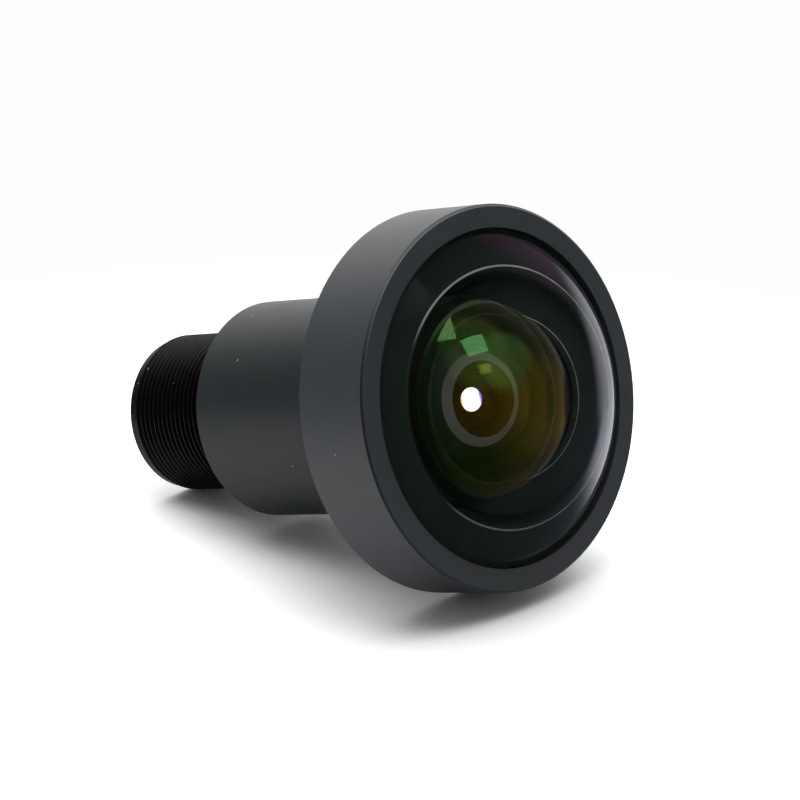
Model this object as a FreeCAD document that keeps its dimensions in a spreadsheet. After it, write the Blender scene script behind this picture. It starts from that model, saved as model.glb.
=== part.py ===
import FreeCAD, Part
import math
import os
import Sketcher

# Wide-angle CCTV board lens with a screw mount: a wide head, a plain neck and an M12 x 0.5 barrel.
# The optical axis is the Y axis. The glass looks towards -Y and the sensor lies towards +Y.
# The origin is the centre of the shoulder, the flat rear face of the neck that the thread leaves.
# All lengths are millimetres.

doc = FreeCAD.newDocument("cctv_lens")
sheet = doc.addObject("Spreadsheet::Sheet", "Sizes")

# Every driving size: its name, its value and what it measures on the lens.
DRIVING_SIZES = [
    ("head_diameter", 27.8, "outside of the head"),
    ("head_length", 6.5, "front face to the rear edge of the head"),
    ("cap_wall", 0.85, "head in to the thread between the cap and the flange"),
    ("face_chamfer", 0.2, "outer front edge of the head"),
    ("head_rear_chamfer", 0.12, "outer rear edge of the head"),
    ("lip_thickness", 0.5, "front lip of the cap that holds the glass in"),
    ("lip_clearance", 0.05, "gap between the lip's hole and the edge of the dome"),
    ("cap_thread_chamfer", 0.3, "start of the flange thread"),
    ("thread_play", 0.05, "radial play in a thread that is drawn plain"),
    ("slip_ring_thickness", 0.13, "plastic ring between the lip and the glass"),
    ("axial_play", 0.01, "gap on each side of the slip ring"),
    ("flange_step", 0.35, "flange thread in to the edge of the front glass"),
    ("neck_length", 17.75, "rear of the head to the shoulder"),
    ("neck_wall", 1.55, "wall of the neck round the spigot"),
    ("neck_chamfer", 0.2, "rear edge of the neck"),
    ("mount_thread", 12.0, "outside diameter of the mounting thread"),
    ("mount_pitch", 0.5, "pitch of the mounting thread"),
    ("mount_length", 10.35, "shoulder to the rear end"),
    ("relief_width", 0.5, "undercut next to the shoulder"),
    ("pilot_step", 0.2, "mounting thread down to the plain end behind it"),
    ("pilot_length", 0.9, "length of the plain end"),
    ("pilot_chamfer", 0.2, "rear edge of the plain end"),
    ("lens_play", 0.03, "radial play of a glass or spacer in its bore"),
    ("front_edge", 1.15, "thickness of the front glass at its edge"),
    ("front_ledge_width", 0.5, "flat ledge round the dome"),
    ("front_ledge_height", 0.2, "edge of the dome down to that ledge"),
    ("dome_radius", 15.93, "front surface of the front glass"),
    ("front_hollow_radius", 9.05, "rear surface of the front glass"),
    ("front_hollow_diameter", 15.9, "diameter where that surface ends"),
    ("glass_bevel", 0.1, "ground bevel round the hollow of the front glass"),
    ("o_ring_section", 0.75, "squeezed thickness of the seal"),
    ("o_ring_inset", 1.35, "edge of the front glass in to the middle of the seal"),
    ("o_ring_groove", 1.1, "width of the seal's groove"),
    ("shield_thickness", 0.1, "black film rings that stop stray light"),
    ("second_front_radius", 14.2, "front surface of the second glass"),
    ("second_front_clear", 14.4, "diameter where that surface ends"),
    ("second_wall_height", 1.11, "ground wall behind that edge"),
    ("front_shield_clearance", 0.6, "that wall to the hole in the film round it"),
    ("second_flange_width", 1.2, "flat flange round the wall"),
    ("second_centre", 1.15, "thickness of the second glass in the middle"),
    ("second_rear_radius", 6.77, "hollow rear surface of the second glass"),
    ("second_rear_clear", 11.2, "diameter where that surface ends"),
    ("second_rear_bevel", 0.15, "bevel round that surface"),
    ("second_shield_clearance", 0.05, "rear surface to the hole in the film behind it"),
    ("baffle_clearance", 0.6, "rear surface to the widest step of the light baffle"),
    ("baffle_depth", 0.4, "each step of the baffle rearwards"),
    ("stack_lip_width", 0.45, "lip in front of the third glass"),
    ("stack_lip_thickness", 0.2, "thickness of that lip"),
    ("stack_step", 0.45, "thread of the stack's ring in to the stack's bore"),
    ("spacer_wall", 1.35, "wall of the spacers in the stack"),
    ("third_front_rim", 1.4, "ground rim round the front of the third glass"),
    ("third_front_radius", 15.4, "hollow front surface of the third glass"),
    ("third_centre", 1.0, "thickness of the third glass in the middle"),
    ("third_rear_rim", 1.65, "ground rim round the rear of the third glass"),
    ("third_rear_radius", 7.0, "hollow rear surface of the third glass"),
    ("front_spacer_length", 1.3, "third glass to fourth glass"),
    ("fourth_rim", 1.45, "ground rims of the fourth glass"),
    ("fourth_front_radius", 8.75, "front surface of the fourth glass"),
    ("fourth_edge", 2.37, "thickness of the fourth glass at its rim"),
    ("fourth_rear_radius", 22.3, "rear surface of the fourth glass"),
    ("stop_spacer_length", 1.37, "fourth glass to the aperture stop"),
    ("stop_thickness", 0.1, "sheet of the aperture stop"),
    ("stop_opening", 3.4, "diameter of the fixed aperture"),
    ("stack_ring_step", 0.9, "spigot thread in to the thread of the stack's ring"),
    ("stack_ring_wall", 2.1, "wall of that ring"),
    ("stack_ring_length", 0.8, "thickness of that ring"),
    ("slot_width", 1.0, "spanner slots in the retaining rings"),
    ("slot_depth", 0.4, "depth of those slots"),
    ("spigot_step", 0.5, "mounting thread out to the spigot thread inside the neck"),
    ("spigot_chamfer", 0.3, "start of the spigot thread"),
    ("rear_lip_width", 0.7, "lip at the front of the rear barrel"),
    ("rear_lip_thickness", 0.4, "thickness of that lip"),
    ("barrel_wall", 1.3, "mounting thread in to the thread of the rear ring"),
    ("rear_step", 0.4, "thread of the rear ring in to the rear glasses"),
    ("rear_spacer_wall", 0.3, "wall of the spacers in the rear barrel"),
    ("pair_rim", 0.7, "rims of the cemented pair"),
    ("crown_front_radius", 11.06, "front surface of the cemented pair"),
    ("crown_edge", 0.59, "thickness of its crown glass at the rim"),
    ("cement_radius", 7.07, "surface where the pair is cemented"),
    ("cement_thickness", 0.01, "film of cement"),
    ("flint_centre", 0.9, "thickness of its flint glass in the middle"),
    ("flint_rear_radius", 24.1, "rear surface of the pair"),
    ("middle_spacer_length", 6.15, "cemented pair to the seventh glass"),
    ("seventh_rim", 0.3, "rims of the seventh glass"),
    ("seventh_front_radius", 8.2, "front surface of the seventh glass"),
    ("seventh_edge", 0.97, "thickness of the seventh glass at its rim"),
    ("seventh_rear_radius", 14.0, "rear surface of the seventh glass"),
    ("rear_spacer_length", 5.6, "seventh glass to the rear glass"),
    ("last_rim", 0.6, "rims of the rear glass"),
    ("last_front_radius", 12.0, "front surface of the rear glass"),
    ("last_edge", 1.3, "thickness of the rear glass at its rim"),
    ("last_rear_radius", 30.0, "rear surface of the rear glass"),
    ("rear_ring_length", 2.4, "thickness of that ring"),
    ("filter_step", 0.6, "thread of the rear ring in to the edge of the filter"),
    ("filter_thickness", 0.4, "thickness of the infrared filter"),
    ("filter_recess", 0.5, "depth of its recess in the rear ring"),
]


class Size:
    """A length with its present value and the sheet expression that gives it."""

    def __init__(self, value, text):
        self.value = value
        self.text = text

    def joined(self, other, sign, value):
        text = other.text if isinstance(other, Size) else repr(other)
        return Size(value, f"({self.text} {sign} {text})")

    def __add__(self, other):
        return self.joined(other, "+", self.value + number(other))

    def __sub__(self, other):
        return self.joined(other, "-", self.value - number(other))

    def __mul__(self, other):
        return self.joined(other, "*", self.value * number(other))

    def __truediv__(self, other):
        return self.joined(other, "/", self.value / number(other))

    def __neg__(self):
        return Size(-self.value, f"(-{self.text})")


def number(item):
    return item.value if isinstance(item, Size) else item


def sag(sphere, reach):
    """How far a sphere of this radius bulges over a circle of radius reach."""
    value = sphere.value - math.sqrt(sphere.value ** 2 - reach.value ** 2)
    return Size(value, f"({sphere.text} - sqrt({sphere.text}^2 - {reach.text}^2))")


SIZES = {}
for row, (alias, value, meaning) in enumerate(DRIVING_SIZES, start=1):
    sheet.set(f"A{row}", alias)
    sheet.set(f"B{row}", str(value))
    sheet.set(f"C{row}", meaning)
    sheet.setAlias(f"B{row}", alias)
    SIZES[alias] = Size(value, f"Sizes.{alias}")
doc.recompute()


def size(alias):
    return SIZES[alias]


def origin_plane(body, role):
    for feature in body.Origin.OriginFeatures:
        if feature.Role == role:
            return feature
    raise ValueError(role)


def bind(sketch, constraint, length):
    """Add one dimension to a sketch and tie it to the sheet."""
    index = sketch.addConstraint(constraint)
    sketch.setExpression(f"Constraints[{index}]", length.text)


SAME_POINT = 1e-6


def draw_outline(sketch, outline):
    """Draw a closed outline of (radius, depth) corners.

    A corner may carry a third item, the radius of the sphere, centred on the axis,
    that leads from it to the next corner, negative where the centre lies in front.
    """
    corners = [(number(item[0]), number(item[1])) for item in outline]
    count = len(outline)
    for index, item in enumerate(outline):
        start = FreeCAD.Vector(*corners[index], 0)
        end = FreeCAD.Vector(*corners[(index + 1) % count], 0)
        if len(item) == 3:
            sphere = item[2]
            side = 1 if sphere.value > 0 else -1
            rim = start if start.x > end.x else end
            centre_y = rim.y + side * math.sqrt(sphere.value ** 2 - rim.x ** 2)
            middle_x = (start.x + end.x) / 2
            middle_y = centre_y - side * math.sqrt(sphere.value ** 2 - middle_x ** 2)
            middle = FreeCAD.Vector(middle_x, middle_y, 0)
            sketch.addGeometry(Part.Arc(start, middle, end), False)
        else:
            sketch.addGeometry(Part.LineSegment(start, end), False)
    # A three-point arc keeps its own sense, so the end that meets the corner is looked up.
    ends = []
    for index in range(count):
        first = sketch.getPoint(index, 1)
        start = FreeCAD.Vector(*corners[index], 0)
        ends.append((1, 2) if first.distanceToPoint(start) < SAME_POINT else (2, 1))
    for index in range(count):
        following = (index + 1) % count
        sketch.addConstraint(
            Sketcher.Constraint("Coincident", index, ends[index][1], following, ends[following][0])
        )
    for index, item in enumerate(outline):
        corner = ends[index][0]
        if isinstance(item[0], Size):
            rule = Sketcher.Constraint("DistanceX", -1, 1, index, corner, item[0].value)
            bind(sketch, rule, item[0])
        else:
            sketch.addConstraint(Sketcher.Constraint("PointOnObject", index, corner, -2))
        if isinstance(item[1], Size):
            rule = Sketcher.Constraint("DistanceY", -1, 1, index, corner, item[1].value)
            bind(sketch, rule, item[1])
        else:
            sketch.addConstraint(Sketcher.Constraint("PointOnObject", index, corner, -1))
        if len(item) == 3:
            sphere = item[2] if item[2].value > 0 else -item[2]
            bind(sketch, Sketcher.Constraint("Radius", index, sphere.value), sphere)


PIECES = []
FULL_TURN = 360.0


def revolve(body, sketch):
    """Turn a sketch once round the optical axis."""
    turn = body.newObject("PartDesign::Revolution", body.Name + "_turn")
    turn.Profile = sketch
    turn.ReferenceAxis = (sketch, ["V_Axis"])
    turn.Angle = FULL_TURN
    sketch.Visibility = False


def axial_sketch(body, name):
    """A sketch on the plane of a piece that holds the optical axis."""
    sketch = body.newObject("Sketcher::SketchObject", name)
    sketch.AttachmentSupport = [(origin_plane(body, "XY_Plane"), "")]
    sketch.MapMode = "FlatFace"
    return sketch


def turned(name, station, outline):
    """Make one piece on a lathe: its outline runs about the optical axis from its own front."""
    body = doc.addObject("PartDesign::Body", name)
    body.Label = name
    sketch = axial_sketch(body, name + "_outline")
    draw_outline(sketch, outline)
    revolve(body, sketch)
    body.setExpression("Placement.Base.y", station.text)
    PIECES.append(body)
    return body


def ring_outline(opening, outside, length):
    """Outline of a plain ring, from the radius of its hole and of its outside."""
    return [(opening, 0), (outside, 0), (outside, length), (opening, length)]


SLOT_TOLERANCE = 0.2


def cut_spanner_slots(body, outside, length, opening):
    """Cut a slot right across the rear face of a retaining ring."""
    floor = length - size("slot_depth")
    over = length + size("slot_depth")
    reach = outside + size("slot_depth")
    sketch = axial_sketch(body, body.Name + "_slot_outline")
    draw_outline(sketch, [(-reach, floor), (reach, floor), (reach, over), (-reach, over)])
    doc.recompute()
    before = body.Shape.Volume
    pocket = body.newObject("PartDesign::Pocket", body.Name + "_slots")
    pocket.Profile = sketch
    pocket.SideType = "Symmetric"
    pocket.setExpression("Length", size("slot_width").text)
    sketch.Visibility = False
    doc.recompute()
    expected = size("slot_width").value * size("slot_depth").value
    expected *= 2 * (outside.value - opening.value)
    removed = before - body.Shape.Volume
    if abs(removed - expected) > expected * SLOT_TOLERANCE:
        raise RuntimeError(f"{body.Label}: slots removed {removed:.3f}, expected {expected:.3f}")


# Radii of the head, from its outside inwards to the edge of the dome.
head = size("head_diameter") / 2
cap_bore = head - size("cap_wall")
flange = cap_bore - size("thread_play")
front_glass = flange - size("flange_step")
dome_edge = front_glass - size("front_ledge_width")
face_opening = dome_edge + size("lip_clearance")

# Radii of the neck and the rear barrel, from the mounting thread outwards and inwards.
mount = size("mount_thread") / 2
spigot = mount + size("spigot_step")
spigot_bore = spigot + size("thread_play")
neck = spigot_bore + size("neck_wall")
stack_ring_outside = spigot - size("stack_ring_step")
stack = stack_ring_outside - size("stack_step")
stack_bore = stack + size("lens_play")
spacer_opening = stack - size("spacer_wall")
rear_ring_outside = mount - size("barrel_wall")
rear_glass = rear_ring_outside - size("rear_step")
rear_bore = rear_glass + size("lens_play")
rear_spacer_opening = rear_glass - size("rear_spacer_wall")

# Stations along the axis, each measured from the shoulder.
head_rear = -size("neck_length")
face = head_rear - size("head_length")
lip_rear = face + size("lip_thickness")
ledge = lip_rear + size("slip_ring_thickness") + size("axial_play") * 2

# Front lens: a deep dome in front and a hollow behind, with a ground bevel round the hollow.
dome_sag = sag(size("dome_radius"), dome_edge)
dome_front = ledge - size("front_ledge_height") - dome_sag
hollow = size("front_hollow_diameter") / 2
hollow_sag = sag(size("front_hollow_radius"), hollow)
front_seat = ledge + size("front_edge")
front_flat = front_seat - dome_front
turned("front_lens", dome_front, [
    (0, 0, size("dome_radius")),
    (dome_edge, dome_sag),
    (dome_edge, ledge - dome_front),
    (front_glass, ledge - dome_front),
    (front_glass, front_flat),
    (hollow + size("glass_bevel"), front_flat),
    (hollow, front_flat - size("glass_bevel"), size("front_hollow_radius")),
    (0, front_flat - size("glass_bevel") - hollow_sag),
])

# Front cap: the outside of the head. It screws over the flange and its lip holds the glass.
cap_pocket = front_glass + size("thread_play") * 2
pocket_depth = front_seat - face - size("thread_play")
turned("front_cap", face, [
    (face_opening, 0),
    (head - size("face_chamfer"), 0),
    (head, size("face_chamfer")),
    (head, size("head_length") - size("head_rear_chamfer")),
    (head - size("head_rear_chamfer"), size("head_length")),
    (cap_bore, size("head_length")),
    (cap_bore, pocket_depth),
    (cap_pocket, pocket_depth),
    (cap_pocket, size("lip_thickness")),
    (face_opening, size("lip_thickness")),
])

# Slip ring: lets the cap turn on the glass without scuffing it.
turned("cap_slip_ring", lip_rear + size("axial_play"), ring_outline(
    face_opening,
    front_glass,
    size("slip_ring_thickness"),
))

# Second lens: a dome on a flat flange, hollow behind.
second_clear = size("second_front_clear") / 2
second_edge = second_clear + size("second_flange_width")
second_hollow = size("second_rear_clear") / 2
second_sag = sag(size("second_front_radius"), second_clear)
second_hollow_sag = sag(size("second_rear_radius"), second_hollow)
second_flat = second_sag + size("second_wall_height")
second_rear = size("second_centre") + second_hollow_sag + size("second_rear_bevel")
second_seat = front_seat + size("shield_thickness")
second_front = second_seat - second_flat
turned("second_lens", second_front, [
    (0, 0, size("second_front_radius")),
    (second_clear, second_sag),
    (second_clear, second_flat),
    (second_edge, second_flat),
    (second_edge, second_rear),
    (second_hollow + size("second_rear_bevel"), second_rear),
    (second_hollow, second_rear - size("second_rear_bevel"), size("second_rear_radius")),
    (0, size("second_centre")),
])

# Black film rings in front of and behind the flange of the second lens.
turned("front_light_shield", front_seat, ring_outline(
    second_clear + size("front_shield_clearance"),
    second_edge,
    size("shield_thickness"),
))
second_shield_station = second_front + second_rear
turned("second_light_shield", second_shield_station, ring_outline(
    second_hollow + size("second_shield_clearance"),
    second_edge,
    size("shield_thickness"),
))

# The stack in the front barrel, from its lip rearwards: each piece starts where the last one ends.
BAFFLE_STEPS = 3
pocket_floor = second_shield_station + size("shield_thickness") - front_seat
baffle_end = pocket_floor + size("baffle_depth") * BAFFLE_STEPS
stack_seat = baffle_end + size("stack_lip_thickness")

third_clear = stack - size("third_front_rim")
third_hollow = stack - size("third_rear_rim")
third_front_sag = sag(size("third_front_radius"), third_clear)
third_rear_sag = sag(size("third_rear_radius"), third_hollow)
third_length = third_front_sag + size("third_centre") + third_rear_sag
third_station = front_seat + stack_seat
turned("third_lens", third_station, [
    (0, third_front_sag, -size("third_front_radius")),
    (third_clear, 0),
    (stack, 0),
    (stack, third_length),
    (third_hollow, third_length, size("third_rear_radius")),
    (0, third_front_sag + size("third_centre")),
])

front_spacer_station = third_station + third_length
turned("front_spacer", front_spacer_station, ring_outline(
    spacer_opening,
    stack,
    size("front_spacer_length"),
))


def domed_lens(name, seat, outside, rim, front_radius, edge, rear_radius):
    """A lens that bulges on both sides and whose front rim lies on a seat.

    Returns the station of its rear rim.
    """
    clear = outside - rim
    front_sag = sag(front_radius, clear)
    rear_rim = front_sag + edge
    turned(name, seat - front_sag, [
        (0, 0, front_radius),
        (clear, front_sag),
        (outside, front_sag),
        (outside, rear_rim),
        (clear, rear_rim, -rear_radius),
        (0, rear_rim + sag(rear_radius, clear)),
    ])
    return seat + edge


stop_spacer_station = domed_lens(
    "fourth_lens",
    front_spacer_station + size("front_spacer_length"),
    stack,
    size("fourth_rim"),
    size("fourth_front_radius"),
    size("fourth_edge"),
    size("fourth_rear_radius"),
)
turned("stop_spacer", stop_spacer_station, ring_outline(
    spacer_opening,
    stack,
    size("stop_spacer_length"),
))

# Aperture stop: a thin black sheet with the fixed aperture.
stop_station = stop_spacer_station + size("stop_spacer_length")
turned("aperture_stop", stop_station, ring_outline(
    size("stop_opening") / 2,
    stack,
    size("stop_thickness"),
))

# Threaded ring that clamps the stack from behind.
stack_ring_station = stop_station + size("stop_thickness")
stack_ring_opening = stack_ring_outside - size("stack_ring_wall")
stack_ring = turned("stack_retaining_ring", stack_ring_station, ring_outline(
    stack_ring_opening,
    stack_ring_outside,
    size("stack_ring_length"),
))
cut_spanner_slots(
    stack_ring,
    stack_ring_outside,
    size("stack_ring_length"),
    stack_ring_opening,
)

# Front barrel: the flange inside the head and the neck, in one turned piece.
spigot_front = stack_ring_station + size("stack_ring_length")
ring_bore = stack_ring_outside + size("thread_play")
second_bore = second_edge + size("lens_play")
seal_middle = front_glass - size("o_ring_inset")
groove_outer = seal_middle + size("o_ring_groove") / 2
groove_inner = seal_middle - size("o_ring_groove") / 2
stack_lip = stack - size("stack_lip_width")
baffle = second_hollow + size("baffle_clearance")
baffle_step = (baffle - stack_lip) / BAFFLE_STEPS
neck_end = -front_seat
barrel_outline = [
    (second_bore, 0),
    (groove_inner, 0),
    (groove_inner, size("o_ring_section")),
    (groove_outer, size("o_ring_section")),
    (groove_outer, 0),
    (flange - size("cap_thread_chamfer"), 0),
    (flange, size("cap_thread_chamfer")),
    (flange, head_rear - front_seat),
    (neck, head_rear - front_seat),
    (neck, neck_end - size("neck_chamfer")),
    (neck - size("neck_chamfer"), neck_end),
    (spigot_bore, neck_end),
    (spigot_bore, spigot_front - front_seat),
    (ring_bore, spigot_front - front_seat),
    (ring_bore, stack_ring_station - front_seat),
    (stack_bore, stack_ring_station - front_seat),
    (stack_bore, stack_seat),
    (stack_lip, stack_seat),
    (stack_lip, baffle_end),
]
for step in reversed(range(BAFFLE_STEPS)):
    opening = baffle - baffle_step * step
    barrel_outline.append((opening, pocket_floor + size("baffle_depth") * (step + 1)))
    barrel_outline.append((opening, pocket_floor + size("baffle_depth") * step))
barrel_outline.append((second_bore, pocket_floor))
turned("front_barrel", front_seat, barrel_outline)

# Seal in its groove under the flat of the front lens, squeezed to the depth of the groove.
seal = doc.addObject("PartDesign::Body", "front_o_ring")
seal.Label = "front_o_ring"
seal_sketch = axial_sketch(seal, "front_o_ring_section")
seal_half = size("o_ring_section") / 2
seal_centre = FreeCAD.Vector(seal_middle.value, seal_half.value, 0)
seal_sketch.addGeometry(
    Part.Circle(seal_centre, FreeCAD.Vector(0, 0, 1), seal_half.value), False
)
bind(seal_sketch, Sketcher.Constraint("Radius", 0, seal_half.value), seal_half)
bind(seal_sketch, Sketcher.Constraint("DistanceX", -1, 1, 0, 3, seal_middle.value), seal_middle)
bind(seal_sketch, Sketcher.Constraint("DistanceY", -1, 1, 0, 3, seal_half.value), seal_half)
revolve(seal, seal_sketch)
seal.setExpression("Placement.Base.y", front_seat.text)
PIECES.append(seal)

# Rear group, in the order that it slides into the rear barrel. The cemented pair comes first.
pair_seat = spigot_front + size("rear_lip_thickness")
pair_clear = rear_glass - size("pair_rim")
crown_sag = sag(size("crown_front_radius"), pair_clear)
cement_sag = sag(size("cement_radius"), rear_glass)
crown_rim = crown_sag + size("crown_edge")
turned("crown_lens", pair_seat - crown_sag, [
    (0, 0, size("crown_front_radius")),
    (pair_clear, crown_sag),
    (rear_glass, crown_sag),
    (rear_glass, crown_rim, -size("cement_radius")),
    (0, crown_rim + cement_sag),
])

flint_sag = sag(size("flint_rear_radius"), pair_clear)
flint_rim = cement_sag + size("flint_centre") - flint_sag
flint_station = pair_seat + size("crown_edge") + size("cement_thickness")
turned("flint_lens", flint_station, [
    (0, cement_sag, -size("cement_radius")),
    (rear_glass, 0),
    (rear_glass, flint_rim),
    (pair_clear, flint_rim, -size("flint_rear_radius")),
    (0, cement_sag + size("flint_centre")),
])

middle_spacer_station = flint_station + flint_rim
turned("middle_spacer", middle_spacer_station, ring_outline(
    rear_spacer_opening,
    rear_glass,
    size("middle_spacer_length"),
))

rear_spacer_station = domed_lens(
    "seventh_lens",
    middle_spacer_station + size("middle_spacer_length"),
    rear_glass,
    size("seventh_rim"),
    size("seventh_front_radius"),
    size("seventh_edge"),
    size("seventh_rear_radius"),
)
turned("rear_spacer", rear_spacer_station, ring_outline(
    rear_spacer_opening,
    rear_glass,
    size("rear_spacer_length"),
))

rear_ring_station = domed_lens(
    "rear_lens",
    rear_spacer_station + size("rear_spacer_length"),
    rear_glass,
    size("last_rim"),
    size("last_front_radius"),
    size("last_edge"),
    size("last_rear_radius"),
)

# Ring behind the rear lens, with a recess for the filter.
filter_edge = rear_ring_outside - size("filter_step")
filter_bore = filter_edge + size("lens_play")
rear_ring_opening = rear_glass - size("last_rim") + size("lens_play")
filter_floor = size("rear_ring_length") - size("filter_recess")
rear_ring = turned("rear_retaining_ring", rear_ring_station, [
    (rear_ring_opening, 0),
    (rear_ring_outside, 0),
    (rear_ring_outside, size("rear_ring_length")),
    (filter_bore, size("rear_ring_length")),
    (filter_bore, filter_floor),
    (rear_ring_opening, filter_floor),
])
cut_spanner_slots(rear_ring, rear_ring_outside, size("rear_ring_length"), filter_bore)

# Infrared filter, a flat glass disc bonded into the rear ring.
turned("infrared_filter", rear_ring_station + filter_floor, [
    (0, 0),
    (filter_edge, 0),
    (filter_edge, size("filter_thickness")),
    (0, size("filter_thickness")),
])

# Rear barrel: a threaded spigot inside the neck, then the mounting thread and a plain end.
# The thread form is the metric one: its depth, flat crest and flat root are shares of the pitch.
THREAD_DEPTH = 0.6134
CREST_WIDTH = 0.125
ROOT_WIDTH = 0.25
thread_root = mount - size("mount_pitch") * THREAD_DEPTH
relief = thread_root - size("thread_play")
rear_ring_bore = rear_ring_outside + size("thread_play")
rear_lip = rear_glass - size("rear_lip_width")
shoulder_depth = -spigot_front
rear_end = shoulder_depth + size("mount_length")
thread_end = rear_end - size("pilot_length")
pilot = mount - size("pilot_step")
rear_barrel = turned("rear_barrel", spigot_front, [
    (rear_lip, 0),
    (spigot - size("spigot_chamfer"), 0),
    (spigot, size("spigot_chamfer")),
    (spigot, shoulder_depth),
    (relief, shoulder_depth),
    (relief, shoulder_depth + size("relief_width")),
    (mount, shoulder_depth + size("relief_width")),
    (mount, thread_end),
    (pilot, thread_end),
    (pilot, rear_end - size("pilot_chamfer")),
    (pilot - size("pilot_chamfer"), rear_end),
    (rear_ring_bore, rear_end),
    (rear_ring_bore, rear_ring_station - spigot_front),
    (rear_bore, rear_ring_station - spigot_front),
    (rear_bore, size("rear_lip_thickness")),
    (rear_lip, size("rear_lip_thickness")),
])

# The thread groove starts in the undercut and runs out over the plain end. Its flanks are
# carried a little past the crest, so that the crest keeps sharp edges.
OVERSHOOT = 0.1
flank_slope = ((1 - CREST_WIDTH) - ROOT_WIDTH) / 2 / THREAD_DEPTH
groove = axial_sketch(rear_barrel, "mount_thread_groove")
groove_start = shoulder_depth + size("relief_width") / 2
groove_mouth = mount + size("mount_pitch") * OVERSHOOT
half_root = size("mount_pitch") * (ROOT_WIDTH / 2)
half_mouth = half_root + size("mount_pitch") * ((THREAD_DEPTH + OVERSHOOT) * flank_slope)
draw_outline(groove, [
    (thread_root, groove_start - half_root),
    (groove_mouth, groove_start - half_mouth),
    (groove_mouth, groove_start + half_mouth),
    (thread_root, groove_start + half_root),
])
thread = rear_barrel.newObject("PartDesign::SubtractiveHelix", "mount_thread")
thread.Profile = groove
thread.ReferenceAxis = (groove, ["V_Axis"])
thread.Mode = "pitch-height-angle"
thread.setExpression("Pitch", size("mount_pitch").text)
thread.setExpression("Height", (thread_end - groove_start).text)
groove.Visibility = False
doc.recompute()

# Check every feature and piece, then write one file per piece.
for item in doc.Objects:
    if "Invalid" in item.State or "Error" in item.State:
        raise RuntimeError(f"{item.Name}: {item.State}")
for body in PIECES:
    if body.Shape.isNull() or not body.Shape.isValid() or len(body.Shape.Solids) != 1:
        raise RuntimeError(f"{body.Label}: bad shape")
if thread.Shape.Volume > thread.BaseFeature.Shape.Volume:
    raise RuntimeError("the mounting thread was not cut")
os.makedirs("parts", exist_ok=True)
for body in PIECES:
    body.Shape.exportStep(f"parts/{body.Label}.step")
    box = body.Shape.BoundBox
    print(f"{body.Label}: {body.Shape.Volume:.2f} mm3, y {box.YMin:.2f} to {box.YMax:.2f}")
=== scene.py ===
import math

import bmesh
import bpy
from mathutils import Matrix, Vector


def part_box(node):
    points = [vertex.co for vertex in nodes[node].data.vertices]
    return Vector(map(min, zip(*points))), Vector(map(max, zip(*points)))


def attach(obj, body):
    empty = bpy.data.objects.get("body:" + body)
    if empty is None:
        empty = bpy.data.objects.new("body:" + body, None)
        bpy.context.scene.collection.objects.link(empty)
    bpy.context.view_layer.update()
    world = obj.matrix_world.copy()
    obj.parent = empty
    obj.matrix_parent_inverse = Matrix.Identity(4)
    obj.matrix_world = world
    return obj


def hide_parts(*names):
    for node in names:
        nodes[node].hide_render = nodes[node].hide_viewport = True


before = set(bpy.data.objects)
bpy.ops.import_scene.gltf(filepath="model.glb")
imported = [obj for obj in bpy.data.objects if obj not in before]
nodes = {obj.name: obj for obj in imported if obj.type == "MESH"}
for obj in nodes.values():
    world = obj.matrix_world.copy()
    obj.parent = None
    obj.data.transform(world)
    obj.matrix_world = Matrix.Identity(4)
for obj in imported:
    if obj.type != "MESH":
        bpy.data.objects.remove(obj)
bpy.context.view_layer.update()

# %% [markdown]
# # A wide-angle camera lens
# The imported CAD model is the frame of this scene. Every turned metal part, spacer and ring is
# already right in shape, so each keeps its mesh and only gets a finish. The nine pieces of glass
# are lathed again here, because a facet that no one sees on metal bends light on glass. Lengths
# in the tables below are millimetres, as on a lens drawing, and MM turns them into metres.

MM = 0.001

# %% [markdown]
# ## Where the lens stands
# The lens lies tipped forward on two points: the rear edge of its head and the end of its thread.
# The model keeps its axis level, so the table top is tilted under it instead. The tilt comes from
# those two radii and their distance, and the height from the lowest vertex along its normal.
#
# Everything in the room is then placed by two angles from the lens, as a photographer would say
# it: so many degrees round from the front, and so many up from the table.

# %% The plane of the table top
TILT = math.radians(16.097)
table_up = Vector((0, -math.sin(TILT), math.cos(TILT)))
table_right = Vector((1, 0, 0))
table_ahead = table_up.cross(table_right)
table_height = min(table_up.dot(v.co) for node in nodes.values() for v in node.data.vertices)
print("table top lies", round(table_height / MM, 3), "mm along its normal from the origin")


def from_table(degrees_round, degrees_up):
    """Direction seen from the lens. It faces 0 degrees round, and its right side is at 90."""
    azimuth, elevation = math.radians(degrees_round), math.radians(degrees_up)
    across = math.cos(elevation)
    return (
        table_right * (math.sin(azimuth) * across)
        - table_ahead * (math.cos(azimuth) * across)
        + table_up * math.sin(elevation)
    )


# %% [markdown]
# ## The camera
# A product photographer stands back and uses a long lens. The camera could be moved by hand until
# the picture looks right. Here it is worked out instead, so that the middle of the head's front
# rim falls on its own point of the picture, at a distance that gives the head its size there. It
# needs no shift and no depth of field.

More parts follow.
